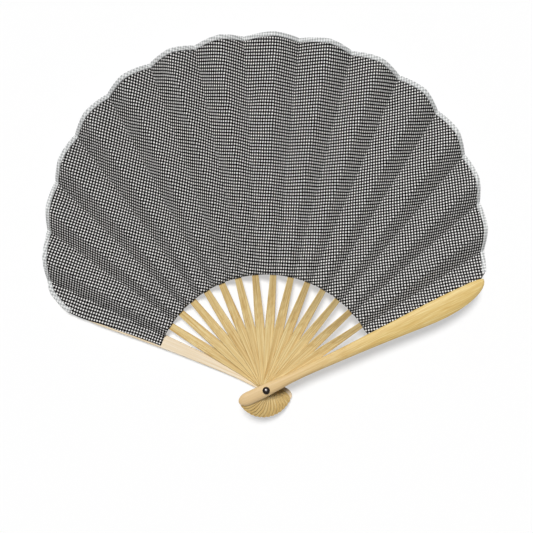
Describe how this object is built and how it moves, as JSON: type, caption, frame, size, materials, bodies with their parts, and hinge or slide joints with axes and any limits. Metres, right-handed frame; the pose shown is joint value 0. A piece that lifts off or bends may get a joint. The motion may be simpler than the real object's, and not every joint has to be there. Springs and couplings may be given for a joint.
{
  "type": "folding fan",
  "caption": "Open folding fan of shell outline: bamboo sticks on one rivet, a pleated check cloth leaf with a bound edge; the front guard swings it shut.",
  "frame": {"origin": "middle of the rivet's flat tail, on the plane of the back guard's flat outer land", "axes": "+Z along the rivet towards its domed head and the front guard; +Y along the middle of the leaf's shell outline, from the rivet to its edge; +X to the side where the front guard lies"},
  "size_m": [0.2485, 0.2166, 0.0246],
  "materials": {
    "guard_bamboo": "polished pale bamboo",
    "rib_bamboo": "smooth split bamboo",
    "leaf_cloth": "fine woven check of black and off-white yarns, stiffened",
    "edge_tape": "thin pale woven tape",
    "rivet_metal": "near-black, glossy"
  },
  "bodies": {
    "back_guard": {"back_guard": "guard_bamboo", "rivet": "rivet_metal", "leaf_back_guard": "leaf_cloth", "binding_back_guard": "edge_tape"},
    "rib_01": {"rib_01": "rib_bamboo", "leaf_rib_01": "leaf_cloth", "binding_rib_01": "edge_tape"},
    "rib_02": {"rib_02": "rib_bamboo", "leaf_rib_02": "leaf_cloth", "binding_rib_02": "edge_tape"},
    "rib_03": {"rib_03": "rib_bamboo", "leaf_rib_03": "leaf_cloth", "binding_rib_03": "edge_tape"},
    "rib_04": {"rib_04": "rib_bamboo", "leaf_rib_04": "leaf_cloth", "binding_rib_04": "edge_tape"},
    "rib_05": {"rib_05": "rib_bamboo", "leaf_rib_05": "leaf_cloth", "binding_rib_05": "edge_tape"},
    "rib_06": {"rib_06": "rib_bamboo", "leaf_rib_06": "leaf_cloth", "binding_rib_06": "edge_tape"},
    "rib_07": {"rib_07": "rib_bamboo", "leaf_rib_07": "leaf_cloth", "binding_rib_07": "edge_tape"},
    "rib_08": {"rib_08": "rib_bamboo", "leaf_rib_08": "leaf_cloth", "binding_rib_08": "edge_tape"},
    "rib_09": {"rib_09": "rib_bamboo", "leaf_rib_09": "leaf_cloth", "binding_rib_09": "edge_tape"},
    "rib_10": {"rib_10": "rib_bamboo", "leaf_rib_10": "leaf_cloth", "binding_rib_10": "edge_tape"},
    "rib_11": {"rib_11": "rib_bamboo", "leaf_rib_11": "leaf_cloth", "binding_rib_11": "edge_tape"},
    "rib_12": {"rib_12": "rib_bamboo", "leaf_rib_12": "leaf_cloth", "binding_rib_12": "edge_tape"},
    "rib_13": {"rib_13": "rib_bamboo", "leaf_rib_13": "leaf_cloth", "binding_rib_13": "edge_tape"},
    "rib_14": {"rib_14": "rib_bamboo", "leaf_rib_14": "leaf_cloth", "binding_rib_14": "edge_tape"},
    "front_guard": {"front_guard": "guard_bamboo", "leaf_front_guard": "leaf_cloth", "binding_front_guard": "edge_tape"}
  },
  "joints": [
    {"name": "front_guard_swing", "type": "hinge", "parent": "back_guard", "child": "front_guard", "pos_m": [0, 0, 0], "axis": [0, 0, 1], "range_deg": [0, 130.7], "deforming": ["leaf_front_guard", "binding_front_guard"]},
    {"name": "rib_01_swing", "type": "hinge", "parent": "back_guard", "child": "rib_01", "pos_m": [0, 0, 0], "axis": [0, 0, 1], "range_deg": [0, 9], "deforming": ["leaf_rib_01", "binding_rib_01"]},
    {"name": "rib_02_swing", "type": "hinge", "parent": "back_guard", "child": "rib_02", "pos_m": [0, 0, 0], "axis": [0, 0, 1], "range_deg": [0, 17.59], "deforming": ["leaf_rib_02", "binding_rib_02"]},
    {"name": "rib_03_swing", "type": "hinge", "parent": "back_guard", "child": "rib_03", "pos_m": [0, 0, 0], "axis": [0, 0, 1], "range_deg": [0, 26.17], "deforming": ["leaf_rib_03", "binding_rib_03"]},
    {"name": "rib_04_swing", "type": "hinge", "parent": "back_guard", "child": "rib_04", "pos_m": [0, 0, 0], "axis": [0, 0, 1], "range_deg": [0, 34.76], "deforming": ["leaf_rib_04", "binding_rib_04"]},
    {"name": "rib_05_swing", "type": "hinge", "parent": "back_guard", "child": "rib_05", "pos_m": [0, 0, 0], "axis": [0, 0, 1], "range_deg": [0, 43.37], "deforming": ["leaf_rib_05", "binding_rib_05"]},
    {"name": "rib_06_swing", "type": "hinge", "parent": "back_guard", "child": "rib_06", "pos_m": [0, 0, 0], "axis": [0, 0, 1], "range_deg": [0, 52.05], "deforming": ["leaf_rib_06", "binding_rib_06"]},
    {"name": "rib_07_swing", "type": "hinge", "parent": "back_guard", "child": "rib_07", "pos_m": [0, 0, 0], "axis": [0, 0, 1], "range_deg": [0, 60.91], "deforming": ["leaf_rib_07", "binding_rib_07"]},
    {"name": "rib_08_swing", "type": "hinge", "parent": "back_guard", "child": "rib_08", "pos_m": [0, 0, 0], "axis": [0, 0, 1], "range_deg": [0, 69.97], "deforming": ["leaf_rib_08", "binding_rib_08"]},
    {"name": "rib_09_swing", "type": "hinge", "parent": "back_guard", "child": "rib_09", "pos_m": [0, 0, 0], "axis": [0, 0, 1], "range_deg": [0, 78.9], "deforming": ["leaf_rib_09", "binding_rib_09"]},
    {"name": "rib_10_swing", "type": "hinge", "parent": "back_guard", "child": "rib_10", "pos_m": [0, 0, 0], "axis": [0, 0, 1], "range_deg": [0, 87.62], "deforming": ["leaf_rib_10", "binding_rib_10"]},
    {"name": "rib_11_swing", "type": "hinge", "parent": "back_guard", "child": "rib_11", "pos_m": [0, 0, 0], "axis": [0, 0, 1], "range_deg": [0, 96.24], "deforming": ["leaf_rib_11", "binding_rib_11"]},
    {"name": "rib_12_swing", "type": "hinge", "parent": "back_guard", "child": "rib_12", "pos_m": [0, 0, 0], "axis": [0, 0, 1], "range_deg": [0, 104.83], "deforming": ["leaf_rib_12", "binding_rib_12"]},
    {"name": "rib_13_swing", "type": "hinge", "parent": "back_guard", "child": "rib_13", "pos_m": [0, 0, 0], "axis": [0, 0, 1], "range_deg": [0, 113.42], "deforming": ["leaf_rib_13", "binding_rib_13"]},
    {"name": "rib_14_swing", "type": "hinge", "parent": "back_guard", "child": "rib_14", "pos_m": [0, 0, 0], "axis": [0, 0, 1], "range_deg": [0, 122], "deforming": ["leaf_rib_14", "binding_rib_14"]}
  ],
  "couplings": [
    {"joint": "rib_01_swing", "follows": "front_guard_swing", "ratio": 0.068861},
    {"joint": "rib_02_swing", "follows": "front_guard_swing", "ratio": 0.13454},
    {"joint": "rib_03_swing", "follows": "front_guard_swing", "ratio": 0.20024},
    {"joint": "rib_04_swing", "follows": "front_guard_swing", "ratio": 0.26596},
    {"joint": "rib_05_swing", "follows": "front_guard_swing", "ratio": 0.33183},
    {"joint": "rib_06_swing", "follows": "front_guard_swing", "ratio": 0.3982},
    {"joint": "rib_07_swing", "follows": "front_guard_swing", "ratio": 0.46601},
    {"joint": "rib_08_swing", "follows": "front_guard_swing", "ratio": 0.53534},
    {"joint": "rib_09_swing", "follows": "front_guard_swing", "ratio": 0.60369},
    {"joint": "rib_10_swing", "follows": "front_guard_swing", "ratio": 0.67035},
    {"joint": "rib_11_swing", "follows": "front_guard_swing", "ratio": 0.7363},
    {"joint": "rib_12_swing", "follows": "front_guard_swing", "ratio": 0.80205},
    {"joint": "rib_13_swing", "follows": "front_guard_swing", "ratio": 0.86775},
    {"joint": "rib_14_swing", "follows": "front_guard_swing", "ratio": 0.93343}
  ]
}
